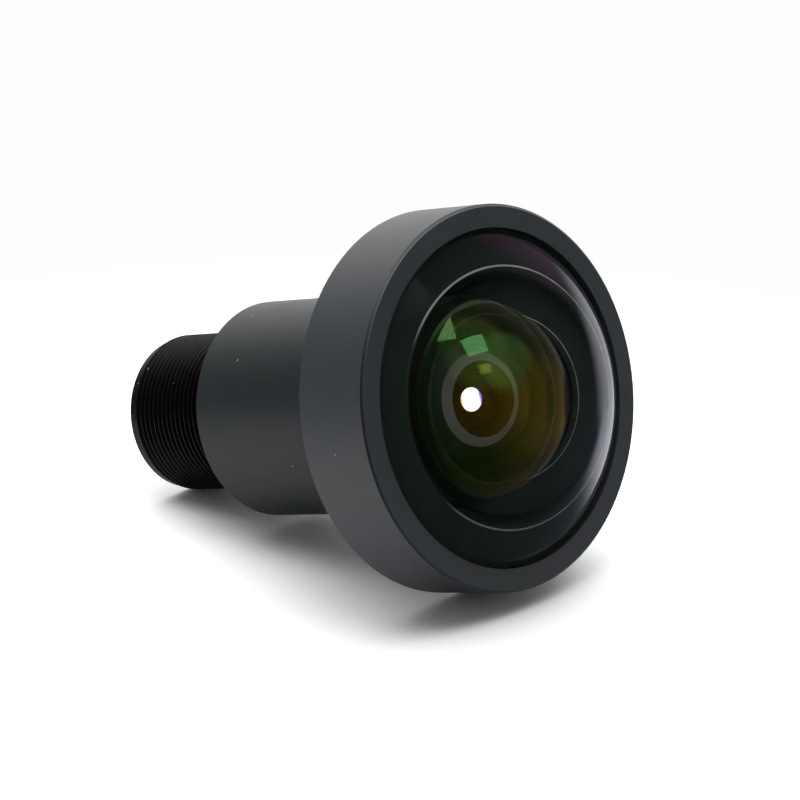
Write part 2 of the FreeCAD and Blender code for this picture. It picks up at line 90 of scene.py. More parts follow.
# %% The camera
PICTURE_WIDTH = 800
SENSOR_WIDTH = 36.0
FOCAL_PIXELS = 3880.0
NEAREST, FARTHEST = 0.01, 10.0
VIEW_ROUND, VIEW_UP = -46.23, 20.1
RIM_CENTRE = Vector((0, -23.95 * MM, 0))
RIM_PIXEL = (500.405, 398.110)
RIM_DISTANCE = 277.036 * MM
back = from_table(VIEW_ROUND, VIEW_UP)
right = table_up.cross(back).normalized()
up = back.cross(right)
camera_data = bpy.data.cameras.new("camera")
camera_data.sensor_width = SENSOR_WIDTH
camera_data.lens = FOCAL_PIXELS * SENSOR_WIDTH / PICTURE_WIDTH
camera_data.clip_start = NEAREST
camera_data.clip_end = FARTHEST
camera = bpy.data.objects.new("camera", camera_data)
bpy.context.scene.collection.objects.link(camera)
aside = (RIM_PIXEL[0] - PICTURE_WIDTH / 2) / FOCAL_PIXELS * RIM_DISTANCE
below = (RIM_PIXEL[1] - PICTURE_WIDTH / 2) / FOCAL_PIXELS * RIM_DISTANCE
camera.location = RIM_CENTRE + back * RIM_DISTANCE - right * aside + up * below
camera.rotation_mode = "QUATERNION"
camera.rotation_quaternion = Matrix((right, up, back)).transposed().to_quaternion()
bpy.context.scene.camera = camera
print("camera at", [round(c, 4) for c in camera.location], "lens", round(camera_data.lens, 1))

# %% [markdown]
# ## Small tools for nodes
# The world and the materials are made of the same few steps: place a node, feed its sockets,
# compare two numbers, ramp a value from 0 to 1, measure along a direction, mix two colours. Each
# step is a function, so that the cells below read as a description of light and finish. A Mix
# node keeps its colour sockets behind those for numbers and vectors, so they go by number.

# %% Tools for nodes
MIX_SHARE, MIX_FIRST, MIX_SECOND, MIX_RESULT = 0, 6, 7, 2


def node_in(tree, kind, **settings):
    """One shader node, with its plain settings and the values of its inputs."""
    node = tree.nodes.new(kind)
    inputs = settings.pop("inputs", {})
    for name, value in settings.items():
        setattr(node, name, value)
    for name, value in inputs.items():
        node.inputs[name].default_value = value
    return node


def feed(tree, socket, source):
    """Give a socket what it takes, which is a plain value or the output of a node."""
    if isinstance(source, bpy.types.NodeSocket):
        tree.links.new(source, socket)
    else:
        socket.default_value = source


def maths(tree, operation, first, second):
    """One sum, product or comparison of two numbers."""
    node = node_in(tree, "ShaderNodeMath", operation=operation)
    feed(tree, node.inputs[0], first)
    feed(tree, node.inputs[1], second)
    return node.outputs["Value"]


def ramp(tree, value, none_at, all_at, easing="SMOOTHSTEP"):
    """A share that grows smoothly from 0, where the value is none_at, to 1 at all_at."""
    node = node_in(tree, "ShaderNodeMapRange", interpolation_type=easing)
    node.inputs["From Min"].default_value = none_at
    node.inputs["From Max"].default_value = all_at
    feed(tree, node.inputs["Value"], value)
    return node.outputs["Result"]


def along(tree, vector, direction):
    """How far a vector reaches along a direction."""
    node = node_in(tree, "ShaderNodeVectorMath", operation="DOT_PRODUCT")
    feed(tree, node.inputs[0], vector)
    feed(tree, node.inputs[1], direction)
    return node.outputs["Value"]


def mixed_colour(tree, share, first, second, blend="MIX"):
    """Mix two colours. Each colour, and the share, is a value or the output of a node."""
    mix = node_in(tree, "ShaderNodeMix", data_type="RGBA", blend_type=blend)
    feed(tree, mix.inputs[MIX_SHARE], share)
    feed(tree, mix.inputs[MIX_FIRST], first)
    feed(tree, mix.inputs[MIX_SECOND], second)
    return mix.outputs[MIX_RESULT]


print("tools for nodes: node_in, feed, maths, ramp, along, mixed_colour")

# %% [markdown]
# ## White all round
# The photograph was taken on a white sweep: paper that covers the table and rises behind the
# object. The camera sees it as plain white. A ring of lamps and cards could light the lens, but
# then each would show in the glass. The light is painted into the world instead: a base tone and
# then one patch over the other, each with its middle direction and the cosines between which it
# fades in.
#
# Matt surfaces gather light from half the room, so they get broad patches: little from the front
# and the side, the bright backdrop, most from overhead and a little behind, and the paper below.
# This is what brightens the tops of the head and the neck.

# %% The world as matt surfaces see it
WHITE = (0.985, 0.985, 0.985, 1.0)
SOFT_FRONT = (0.22, 0.23, 0.23, 1.0)
SOFT_SIDE = (0.22, 0.24, 0.26, 1.0)
SOFT_BACKDROP = (1.30, 1.30, 1.31, 1.0)
SOFT_OVERHEAD = (2.60, 2.61, 2.64, 1.0)
SOFT_PAPER = (0.80, 0.81, 0.85, 1.0)
STRAIGHT_UP, AWAY = 0.97, 0.22
world = bpy.data.worlds.new("white_sweep")
bpy.context.scene.world = world
world.use_nodes = True
tree = world.node_tree
tree.nodes.clear()
way = node_in(tree, "ShaderNodeTexCoord").outputs["Generated"]


def room_light(base, *patches):
    """A base tone under patches of light, each (direction, none at, all at, colour)."""
    colour = base
    for direction, none_at, all_at, patch_colour in patches:
        share = ramp(tree, along(tree, way, direction), none_at, all_at)
        colour = mixed_colour(tree, share, colour, patch_colour)
    return colour


backdrop_way = from_table(136, 3)
overhead_way = (table_up * STRAIGHT_UP - back * AWAY).normalized()
soft_paper = room_light(SOFT_SIDE, (table_ahead, -0.30, 0.40, SOFT_PAPER))
soft_light = room_light(
    SOFT_FRONT,
    (table_ahead, 0.20, 0.70, SOFT_SIDE),
    (backdrop_way, 0.40, 0.97, SOFT_BACKDROP),
    (overhead_way, 0.60, 0.92, SOFT_OVERHEAD),
    (-table_up, 0.0, 0.25, soft_paper),
)
print("soft light:", len(tree.nodes), "nodes")

# %% [markdown]
# ## The studio in the glass
# Glass mirrors one direction at a time, so for sharp rays the world is painted as the studio is: a
# dark room, a dim ceiling, dim paper near the camera, a purplish wall high on the right, a white
# card low on the right and the white sweep behind. The card lights the right limb of the dome and
# the wall its upper edge. The dark room is what lets the glass look deep instead of milky.

# %% The studio that the outer surface mirrors
ROOM = (0.045, 0.055, 0.055, 1.0)
CEILING = (0.10, 0.13, 0.16, 1.0)
NEAR_PAPER = (0.07, 0.09, 0.16, 1.0)
WALL = (0.24, 0.12, 0.23, 1.0)
SIDE_CARD = (0.82, 0.82, 0.90, 1.0)
wall_way = from_table(111, 25)
card_way = from_table(101, -14)
outer_studio = room_light(
    ROOM,
    (table_up, 0.25, 0.65, CEILING),
    (-table_up, 0.05, 0.50, NEAR_PAPER),
    (wall_way, 0.88, 0.98, WALL),
    (card_way, 0.92, 0.99, SIDE_CARD),
    (table_ahead, 0.35, 0.60, WHITE),
)
print("outer studio:", len(tree.nodes), "nodes so far")

# %% [markdown]
# ## What comes back out of the glass
# A ray that has been inside the glass has met several coats, each of which keeps only a little
# of some colours. To follow that wavelength by wavelength would need a spectrum, and a render
# traces only red, green and blue. So these rays get a studio of their own: warm and dim, with an
# olive ceiling, a brown glow from the right, and two dark regions where the barrel is in the way.
#
# Straight through the lens these rays see the white sweep. A simple wide lens splits colours a
# little towards its rim, so the sweep has an orange edge on one side and a blue one on the other.

# %% The studio that the inner surfaces mirror
INNER_ROOM = (0.055, 0.046, 0.020, 1.0)
INNER_CEILING = (0.42, 0.38, 0.24, 1.0)
INNER_GLOW = (0.28, 0.14, 0.030, 1.0)
INNER_SHADE = (0.060, 0.055, 0.035, 1.0)
INNER_CORNER = (0.014, 0.015, 0.008, 1.0)
THROUGH_WHITE = (1.7, 1.7, 1.5, 1.0)
FRINGE_LEFT = (1.5, 0.70, 0.12, 1.0)
FRINGE_RIGHT = (0.22, 0.40, 1.3, 1.0)
behind_left_way = from_table(-86, 0)
ceiling_way = from_table(20, 50)
glow_way = from_table(42, -4)
shade_way = -from_table(-10, 0)
corner_way = from_table(92, -15)
through_light = room_light(
    FRINGE_LEFT,
    (behind_left_way, 0.0, 0.08, THROUGH_WHITE),
    (behind_left_way, 0.355, 0.405, FRINGE_RIGHT),
)
inner_studio = room_light(
    INNER_ROOM,
    (ceiling_way, 0.82, 0.92, INNER_CEILING),
    (glow_way, 0.62, 0.96, INNER_GLOW),
    (shade_way, 0.08, 0.12, INNER_SHADE),
    (corner_way, 0.960, 0.988, INNER_CORNER),
    (table_ahead, 0.66, 0.76, through_light),
)
print("inner studio:", len(tree.nodes), "nodes so far")

# %% [markdown]
# ## Which ray sees which world
# Light Path tells what a ray is. The camera's own rays see white, sharp rays see a studio, and
# all other rays, which are those that light matt surfaces, see the soft light. A ray that has
# passed into glass counts at least one transmission, and that picks the inner studio.

# %% The world put together
INSIDE_COUNT = 0.5
seen = node_in(tree, "ShaderNodeLightPath")
inside = maths(tree, "GREATER_THAN", seen.outputs["Transmission Depth"], INSIDE_COUNT)
studio = mixed_colour(tree, inside, outer_studio, inner_studio)
lit = mixed_colour(tree, seen.outputs["Is Singular Ray"], soft_light, studio)
shown = mixed_colour(tree, seen.outputs["Is Camera Ray"], lit, WHITE)
backdrop = node_in(tree, "ShaderNodeBackground", inputs={"Strength": 1.0})
world_output = node_in(tree, "ShaderNodeOutputWorld")
tree.links.new(shown, backdrop.inputs["Color"])
tree.links.new(backdrop.outputs["Background"], world_output.inputs["Surface"])
bpy.context.scene.view_settings.view_transform = "Standard"
print("world: white sweep,", len(tree.nodes), "nodes")

# %% [markdown]
# ## One soft lamp
# A softbox hangs almost straight above, a little towards the camera. It makes the shadow on the
# table, and its mirror images in three of the glass surfaces are the green patches near the
# middle. It is an area lamp, set by where it hangs, how large it is and how bright its face is,
# where 1 is white paper, because that is what a reflection shows. Its power follows from these.

# %% The softbox
LAMP_ROUND, LAMP_UP = -37, 76
LAMP_DISTANCE = 0.50
LAMP_SIDE = 0.18
LAMP_FACE = 2.2
lamp_data = bpy.data.lights.new("overhead_softbox", "AREA")
lamp_data.shape = "RECTANGLE"
lamp_data.size = LAMP_SIDE
lamp_data.size_y = LAMP_SIDE
lamp_data.energy = LAMP_FACE * math.pi * LAMP_SIDE * LAMP_SIDE
lamp = bpy.data.objects.new("overhead_softbox", lamp_data)
bpy.context.scene.collection.objects.link(lamp)
lamp_way = from_table(LAMP_ROUND, LAMP_UP)
lamp.location = RIM_CENTRE + lamp_way * LAMP_DISTANCE
lamp.rotation_mode = "QUATERNION"
lamp.rotation_quaternion = lamp_way.to_track_quat("Z", "Y")
print("lamp at", [round(c, 3) for c in lamp.location], "power", round(lamp_data.energy, 3))

# %% [markdown]
# ## The table top
# Only a round patch of table is needed. A plane could be turned to the tilt. This one is built in
# the tilted plane from rings of vertices instead, so that its points say where they are on the
# table without any turning. It is stage, not part of the lens.

# %% Table patch
PATCH_RADIUS = 0.075
PATCH_RINGS = 12
PATCH_SIDES = 96
PATCH_MIDDLE = Vector((0, -8 * MM, 0))


def band(mesh, row, following):
    """Faces between two rings of vertices, either of which may be a single vertex."""
    sides = max(len(row), len(following))
    faces = []
    for side in range(sides):
        after = (side + 1) % sides
        if len(row) == 1:
            around = (row[0], following[side], following[after])
        elif len(following) == 1:
            around = (row[side], following[0], row[after])
        else:
            around = (row[side], following[side], following[after], row[after])
        faces.append(mesh.faces.new(around))
    return faces


patch_centre = PATCH_MIDDLE + table_up * (table_height - table_up.dot(PATCH_MIDDLE))
patch = bmesh.new()
turns = [2 * math.pi * side / PATCH_SIDES for side in range(PATCH_SIDES)]
rings = [[patch.verts.new(patch_centre)]]
for ring in range(1, PATCH_RINGS + 1):
    reach = PATCH_RADIUS * ring / PATCH_RINGS
    rings.append([
        patch.verts.new(
            patch_centre
            + table_right * (reach * math.cos(turn))
            + table_ahead * (reach * math.sin(turn))
        )
        for turn in turns
    ])
for inner, outer in zip(rings, rings[1:]):
    band(patch, inner, outer)
patch_mesh = bpy.data.meshes.new("table_patch")
patch.to_mesh(patch_mesh)
patch.free()
table = bpy.data.objects.new("table_patch", patch_mesh)
bpy.context.scene.collection.objects.link(table)
print("table patch:", len(patch_mesh.polygons), "faces")

# %% [markdown]
# ## Where the table is clear
# The patch is mixed with a clear shader. It turns clear towards its rim, so that the white of the
# world takes over without an edge. It is also clear when seen from below, and for light that has
# been inside the glass, which has its own studio. Each of the three is a share from 0 to 1, and
# the largest wins.

# %% Where the table is clear
FADE_FROM, FADE_TO = PATCH_RADIUS * 0.42, PATCH_RADIUS * 0.98
table_paper = bpy.data.materials.new("table_paper")
table_paper.use_nodes = True
tree = table_paper.node_tree
tree.nodes.clear()
place = node_in(tree, "ShaderNodeTexCoord").outputs["Object"]
from_middle = node_in(tree, "ShaderNodeVectorMath", operation="DISTANCE")
feed(tree, from_middle.inputs[0], place)
feed(tree, from_middle.inputs[1], patch_centre)
fade = ramp(tree, from_middle.outputs["Value"], FADE_FROM, FADE_TO, easing="SMOOTHERSTEP")
under = node_in(tree, "ShaderNodeNewGeometry").outputs["Backfacing"]
seen = node_in(tree, "ShaderNodeLightPath")
inside = maths(tree, "GREATER_THAN", seen.outputs["Transmission Depth"], INSIDE_COUNT)
clear_share = maths(tree, "MAXIMUM", maths(tree, "MAXIMUM", fade, under), inside)
print("table fades between", round(FADE_FROM / MM, 1), "and", round(FADE_TO / MM, 1), "mm")

# %% [markdown]
# ## The tone of the paper
# The camera sees exposed white paper, which the shadow of the lens darkens. The paper in front
# is painted darker than the paper behind, as painted shade, so it bounces less light up to the
# head. In the dome's mirror the paper in front is painted dark for the shade of the camera, the
# strip beside the head carries the painted light of the side card, and the paper behind is
# white. Distances along the table, back from the middle or out beside the head, decide which is
# which.

# %% Tone of the paper
PAPER = (0.86, 0.86, 0.88, 1.0)
# painted shade: the paper in front, darker than the paper behind
SHADED_FRONT_PAPER = (0.42, 0.42, 0.44, 1.0)
EXPOSED_PAPER = (1.25, 1.25, 1.26, 1.0)
SHADED_PAPER = (0.07, 0.085, 0.11, 1.0)
# painted light: the side card's light on the paper beside the head, as the dome mirrors it
CARD_LIT_PAPER = (0.84, 0.84, 0.93, 1.0)
CARD_BESIDE = (9 * MM, 25 * MM)
CARD_BACK = (-34 * MM, -28 * MM)
WHITE_BACK = (-5 * MM, 12 * MM)
BOUNCE_BACK = (-34 * MM, -14 * MM)
beside_way = from_table(108, 0)
beside_rim = beside_way.dot(RIM_CENTRE)
depth_beside = along(tree, place, beside_way)
depth_back = along(tree, place, table_ahead)
beside_share = ramp(tree, depth_beside, beside_rim + CARD_BESIDE[0], beside_rim + CARD_BESIDE[1])
card_light_share = maths(tree, "MULTIPLY", beside_share, ramp(tree, depth_back, *CARD_BACK))
mirrored_tone = mixed_colour(tree, card_light_share, SHADED_PAPER, CARD_LIT_PAPER)
white_share = ramp(tree, depth_back, *WHITE_BACK)
mirrored_tone = mixed_colour(tree, white_share, mirrored_tone, EXPOSED_PAPER)
paper_tone = mixed_colour(tree, ramp(tree, depth_back, *BOUNCE_BACK), SHADED_FRONT_PAPER, PAPER)
paper_tone = mixed_colour(tree, seen.outputs["Is Singular Ray"], paper_tone, mirrored_tone)
paper_tone = mixed_colour(tree, seen.outputs["Is Camera Ray"], paper_tone, EXPOSED_PAPER)
print("paper tone:", len(tree.nodes), "nodes so far")

# %% [markdown]
# ## The paper's surface
# Paper has no gloss worth setting, so a diffuse shader is enough, with a noise for its fibre that
# lifts it by less than a tenth of a millimetre. It is mixed with the clear shader by the share
# from above.

# %% Paper surface
paper = node_in(tree, "ShaderNodeBsdfDiffuse")
fibre = node_in(tree, "ShaderNodeTexNoise", inputs={"Scale": 900.0, "Detail": 4.0})
fibre_bump = node_in(tree, "ShaderNodeBump", inputs={"Strength": 0.05, "Distance": 0.1 * MM})
nothing = node_in(tree, "ShaderNodeBsdfTransparent")
faded = node_in(tree, "ShaderNodeMixShader")
paper_output = node_in(tree, "ShaderNodeOutputMaterial")
links = tree.links
links.new(place, fibre.inputs["Vector"])
links.new(fibre.outputs["Fac"], fibre_bump.inputs["Height"])
links.new(fibre_bump.outputs["Normal"], paper.inputs["Normal"])
links.new(paper_tone, paper.inputs["Color"])
links.new(clear_share, faded.inputs["Fac"])
links.new(paper.outputs["BSDF"], faded.inputs[1])
links.new(nothing.outputs["BSDF"], faded.inputs[2])
links.new(faded.outputs["Shader"], paper_output.inputs["Surface"])
patch_mesh.materials.append(table_paper)
print("table paper:", len(tree.nodes), "nodes")

# %% [markdown]
# ## What the finishes share: fine grain
# An effect that comes back in several finishes is a node group. Fine grain is the even satin of
# blasted and anodised aluminium: a dense noise that lifts and lowers the surface by microns, and
# a broad one that mottles its tone. An image could carry it, but a noise has no seams on a turned
# part. It reads the piece's own coordinates, so it stays put when the piece turns.

# %% Group: fine grain
GRAIN_SCALE = 9000.0
MOTTLE_SCALE = 260.0


def new_group(name, inputs, outputs):
    """An empty shader node group with named float inputs and float outputs."""
    group = bpy.data.node_groups.new(name, "ShaderNodeTree")
    for label, value in inputs:
        socket = group.interface.new_socket(label, in_out="INPUT", socket_type="NodeSocketFloat")
        socket.default_value = value
    for label in outputs:
        group.interface.new_socket(label, in_out="OUTPUT", socket_type="NodeSocketFloat")
    return group, group.nodes.new("NodeGroupInput"), group.nodes.new("NodeGroupOutput")


grain_group, taken, given = new_group(
    "fine_grain", [("Scale", GRAIN_SCALE), ("Mottle", 0.12)], ["Tone", "Height"]
)
place = node_in(grain_group, "ShaderNodeTexCoord").outputs["Object"]
fine = node_in(grain_group, "ShaderNodeTexNoise", inputs={"Detail": 3.0, "Roughness": 0.6})
broad = node_in(grain_group, "ShaderNodeTexNoise", inputs={"Scale": MOTTLE_SCALE, "Detail": 3.0})
links = grain_group.links
links.new(place, fine.inputs["Vector"])
links.new(place, broad.inputs["Vector"])
links.new(taken.outputs["Scale"], fine.inputs["Scale"])
both = maths(grain_group, "ADD", fine.outputs["Fac"], broad.outputs["Fac"])
centred = maths(grain_group, "SUBTRACT", both, 1.0)
scaled = maths(grain_group, "MULTIPLY", centred, taken.outputs["Mottle"])
links.new(maths(grain_group, "ADD", scaled, 1.0), given.inputs["Tone"])
links.new(fine.outputs["Fac"], given.inputs["Height"])
print("group fine_grain:", len(grain_group.nodes), "nodes")

# %% [markdown]
# ## What the finishes share: lint
# Any matt black part picks up sparse pale specks. They could be strewn as tiny meshes, but a mask
# costs nothing and stays on the skin. A cell pattern gives every cell a middle and a random
# colour. Only points close to a middle count, and only in the few cells whose random red falls
# below the wanted share. A little noise on the coordinates keeps the specks from being round.

# %% Group: lint
LINT_WARP = 0.2 * MM
lint_group, taken, given = new_group(
    "lint", [("Scale", 800.0), ("Speck", 0.08), ("Share", 0.03)], ["Mask"]
)
place = node_in(lint_group, "ShaderNodeTexCoord").outputs["Object"]
warp = node_in(lint_group, "ShaderNodeTexNoise", inputs={"Scale": 1500.0, "Detail": 2.0})
warped = node_in(lint_group, "ShaderNodeVectorMath", operation="MULTIPLY_ADD")
cells = node_in(lint_group, "ShaderNodeTexVoronoi", feature="F1")
cell_draw = node_in(lint_group, "ShaderNodeSeparateColor")
links = lint_group.links
links.new(place, warp.inputs["Vector"])
feed(lint_group, warped.inputs[0], warp.outputs["Color"])
feed(lint_group, warped.inputs[1], (LINT_WARP, LINT_WARP, LINT_WARP))
feed(lint_group, warped.inputs[2], place)
links.new(warped.outputs["Vector"], cells.inputs["Vector"])
links.new(taken.outputs["Scale"], cells.inputs["Scale"])
links.new(cells.outputs["Color"], cell_draw.inputs["Color"])
near = maths(lint_group, "LESS_THAN", cells.outputs["Distance"], taken.outputs["Speck"])
chosen = maths(lint_group, "LESS_THAN", cell_draw.outputs["Red"], taken.outputs["Share"])
links.new(maths(lint_group, "MULTIPLY", near, chosen), given.inputs["Mask"])
print("group lint:", len(lint_group.nodes), "nodes")

# %% [markdown]
# ## Black anodised aluminium
# The head, the neck and the barrel are turned aluminium, blasted fine and anodised black. Dyed
# oxide is not a metal to the eye: it is a dark, slightly glossy skin, so Metallic stays at zero
# and the sheen comes from roughness near one half. The material is written as a function, so
# each part gets its own numbers. The neck's darker tone is painted shade, and the thread is
# darker and glossier still.

# %% Black finishes
MICRON = 0.001 * MM
LINT_TONE = (0.22, 0.22, 0.21, 1.0)


def black_finish(name, colour, roughness, mottle, grain_microns, lint_share=0.0, gloss=0.5,
                 grain_scale=GRAIN_SCALE):
    """A dark satin skin with grain, uneven tone and a few pale specks of lint."""
    material = bpy.data.materials.new(name)
    material.use_nodes = True
    tree = material.node_tree
    skin = tree.nodes["Principled BSDF"]
    skin.inputs["Specular IOR Level"].default_value = gloss
    grain = node_in(tree, "ShaderNodeGroup", node_tree=grain_group)
    grain.inputs["Scale"].default_value = grain_scale
    grain.inputs["Mottle"].default_value = mottle
    specks = node_in(tree, "ShaderNodeGroup", node_tree=lint_group)
    specks.inputs["Share"].default_value = lint_share
    relief = node_in(tree, "ShaderNodeBump", inputs={"Distance": grain_microns * MICRON})
    dyed = mixed_colour(tree, 1.0, (*colour, 1.0), grain.outputs["Tone"], blend="MULTIPLY")
    with_lint = mixed_colour(tree, specks.outputs["Mask"], dyed, LINT_TONE)
    satin = maths(tree, "MULTIPLY", grain.outputs["Tone"], roughness)
    links = tree.links
    links.new(with_lint, skin.inputs["Base Color"])
    links.new(satin, skin.inputs["Roughness"])
    links.new(grain.outputs["Height"], relief.inputs["Height"])
    links.new(relief.outputs["Normal"], skin.inputs["Normal"])
    return material


head_black = black_finish(
    "head_black", (0.036, 0.041, 0.045), roughness=0.43, mottle=0.20, grain_microns=3,
    lint_share=0.05,
)
# painted shade: the neck's tone is darker than the head's, for the shade it lies in
neck_shaded_black = black_finish(
    "neck_shaded_black", (0.013, 0.017, 0.018), roughness=0.44, mottle=0.25, grain_microns=3,
    lint_share=0.16, gloss=0.33,
)
thread_black = black_finish(
    "thread_black", (0.0028, 0.0010, 0.0018), roughness=0.26, mottle=0.35, grain_microns=2,
    lint_share=0.40, gloss=0.16,
)
print("black finishes:", head_black.name, neck_shaded_black.name, thread_black.name)

# %% [markdown]
# ## The painted dark line round the face
# The outer edge of the head's face is broken by a tiny chamfer. It shows as a thin dark line
# between the face and the side, and that line is painted shade. The CAD mesh has no slot of its
# own for it, so the line is painted by place: far enough from the axis, and in a thin slice of
# depth.

# %% The dark line
# painted shade: a near-black tone for the chamfer's edge
LINE_SHADE_TONE = (0.003, 0.003, 0.004)
LINE_RADIUS = 13.702 * MM
LINE_FRONT, LINE_REAR = -24.18 * MM, -24.055 * MM
ACROSS = (1.0, 0.0, 1.0)


def paint_over(material, mask, tone):
    """Lay a second tone over a finish where the mask is 1."""
    tree = material.node_tree
    base = tree.nodes["Principled BSDF"].inputs["Base Color"]
    tree.links.new(mixed_colour(tree, mask, base.links[0].from_socket, (*tone, 1.0)), base)


tree = head_black.node_tree
place = node_in(tree, "ShaderNodeTexCoord").outputs["Object"]
parts = node_in(tree, "ShaderNodeSeparateXYZ")
flattened = node_in(tree, "ShaderNodeVectorMath", operation="MULTIPLY")
from_axis = node_in(tree, "ShaderNodeVectorMath", operation="LENGTH")
feed(tree, parts.inputs["Vector"], place)
feed(tree, flattened.inputs[0], place)
feed(tree, flattened.inputs[1], ACROSS)
feed(tree, from_axis.inputs[0], flattened.outputs["Vector"])
far_out = maths(tree, "GREATER_THAN", from_axis.outputs["Value"], LINE_RADIUS)
behind_front = maths(tree, "GREATER_THAN", parts.outputs["Y"], LINE_FRONT)
before_rear = maths(tree, "LESS_THAN", parts.outputs["Y"], LINE_REAR)
in_slice = maths(tree, "MULTIPLY", behind_front, before_rear)
paint_over(head_black, maths(tree, "MULTIPLY", far_out, in_slice), LINE_SHADE_TONE)
print("dark line", round((LINE_REAR - LINE_FRONT) / MM, 3), "mm deep")

# %% [markdown]
# ## Finishes on the big parts
# The three outer parts keep their CAD meshes, whose edges and thread are already cut. A finish
# goes on through the mesh's material slots, so nothing about the shape changes.

# %% Head, neck and thread


def finish_node(node, material):
    """Give a CAD node its finish through its material slots."""
    mesh = nodes[node].data
    mesh.materials.clear()
    mesh.materials.append(material)
    print(node, "gets", material.name)


finish_node("front_cap", head_black)
finish_node("front_barrel", neck_shaded_black)
finish_node("rear_barrel", thread_black)

# %% [markdown]
# ## The small black pieces inside
# The spacers and rings between the glasses are the same dyed aluminium, but flat black, so that
# they don't send light back. The aperture stop and the stray light rings are black film, the
# seal is rubber, and the ring under the cap's lip is a slippery plastic film. All are the same
# dark skin with other numbers, which keeps them one family under any light.

# %% Inner finishes
spacer_black = black_finish(
    "spacer_black", (0.010, 0.010, 0.010), roughness=0.62, mottle=0.3, grain_microns=4, gloss=0.3
)
film_black = black_finish(
    "film_black", (0.013, 0.013, 0.014), roughness=0.7, mottle=0.15, grain_microns=1, gloss=0.3
)
slip_black = black_finish(
    "slip_black", (0.016, 0.016, 0.017), roughness=0.4, mottle=0.1, grain_microns=1
)
seal_black = black_finish(
    "seal_black", (0.018, 0.018, 0.018), roughness=0.55, mottle=0.3, grain_microns=5
)
for spacer in ("front_spacer", "stop_spacer", "middle_spacer", "rear_spacer",
               "stack_retaining_ring", "rear_retaining_ring"):
    finish_node(spacer, spacer_black)
for film in ("front_light_shield", "second_light_shield", "aperture_stop"):
    finish_node(film, film_black)
finish_node("cap_slip_ring", slip_black)
finish_node("front_o_ring", seal_black)

# %% [markdown]
# ## The lines of a lens drawing
# Each glass is turned from its drawing: a chain of corners, given as radius and depth from the
# front of the piece, where a third number is the radius of the sphere that leads to the next
# corner. How far a sphere bulges over its rim is its sag, and most depths follow from it. Inked
# zones are drawn in by two microns, so that no ink touches the metal that holds the glass.

# %% Lines of the drawing
ARC_STEPS = 40
INK_GAP = 0.002


def sag(sphere, reach):
    """How far a sphere bulges over a circle of radius reach."""
    return sphere - math.sqrt(sphere ** 2 - reach ** 2)


def sphere_steps(start, end, sphere):
    """Points from start to end on a sphere centred on the axis, behind if sphere is positive."""
    side = 1 if sphere > 0 else -1
    rim = max(start, end)
    centre = rim[1] + side * math.sqrt(sphere ** 2 - rim[0] ** 2)
    first = math.asin(start[0] / abs(sphere))
    last = math.asin(end[0] / abs(sphere))
    angles = [first + (last - first) * step / ARC_STEPS for step in range(ARC_STEPS + 1)]
    return [
        (abs(sphere) * math.sin(a), centre - side * abs(sphere) * math.cos(a)) for a in angles
    ]


def drawn_in(start, end):
    """An inked zone moved a little way into the glass, so that it never touches metal."""
    length = math.dist(start, end)
    inward = ((start[1] - end[1]) / length * INK_GAP, (end[0] - start[0]) / length * INK_GAP)
    return [(radius + inward[0], depth + inward[1]) for radius, depth in (start, end)]


print("a sphere of 10 mm bulges", round(sag(10, 5), 3), "mm over a circle of 5 mm")

# %% [markdown]
# ## The lathe
# The drawing is turned about the optical axis. A Screw modifier would turn it too, but one lens
# has polished, ground and inked zones. Here each zone gets its own rings of vertices and
# its own material, so the kinks between zones stay sharp under smooth shading. A ring has 256
# vertices, enough for the mirror images in the dome to have no facets.

# %% Lathe for glass
SIDES = 256
ON_AXIS = 1e-6


def ring_at(lathe, radius, y):
    """A ring of vertices round the optical axis, or one vertex on it."""
    if radius < ON_AXIS:
        return [lathe.verts.new((0, y, 0))]
    return [
        lathe.verts.new((
            radius * MM * math.cos(2 * math.pi * side / SIDES),
            y,
            radius * MM * math.sin(2 * math.pi * side / SIDES),
        ))
        for side in range(SIDES)
    ]


def lathe_glass(name, station, corners, finishes):
    """Turn a chain of corners (radius, depth, sphere, finish) from a station along the axis."""
    lathe = bmesh.new()
    for corner, following in zip(corners, corners[1:]):
        start, end, sphere, finish = corner[:2], following[:2], corner[2], corner[3]
        if sphere:
            chain = sphere_steps(start, end, sphere)
        elif finish == "ink":
            chain = drawn_in(start, end)
        else:
            chain = [start, end]
        rings = [ring_at(lathe, radius, (station + depth) * MM) for radius, depth in chain]
        for inner, outer in zip(rings, rings[1:]):
            for face in band(lathe, inner, outer):
                face.material_index = finishes.index(finish)
                face.smooth = True
    mesh = bpy.data.meshes.new(name)
    lathe.to_mesh(mesh)
    lathe.free()
    glass = bpy.data.objects.new(name, mesh)
    bpy.context.scene.collection.objects.link(glass)
    print(name, "has", len(mesh.polygons), "faces in", len(corners) - 1, "zones")
    return glass


def station_and_length(node):
    """Where a CAD piece starts along the axis and how long it is, in millimetres."""
    low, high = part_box(node)
    return low.y / MM, (high.y - low.y) / MM


def dress(glass, *materials):
    """Fill the material slots of a glass, in the order of its finishes."""
    for material in materials:
        glass.data.materials.append(material)


print("lathe turns", SIDES, "sides, an arc has", ARC_STEPS, "steps")

# %% [markdown]
# ## Polished glass
# A polished surface is clear glass with an antireflection coat. The coat is a Specular Tint far
# below white: it takes most of the mirror image away and leaves its own weak colour, while the
# grazing rim of a dome still mirrors fully, as real coated glass does. A thin film could be
# traced as such, but its colours would be hard to steer. A coat looks warmer the more it is
# slanted, so one of them shifts its colour with Layer Weight.

# %% Polished finish
DENSE_GLASS, LIGHT_GLASS, FILTER_GLASS = 1.7725, 1.60, 1.52


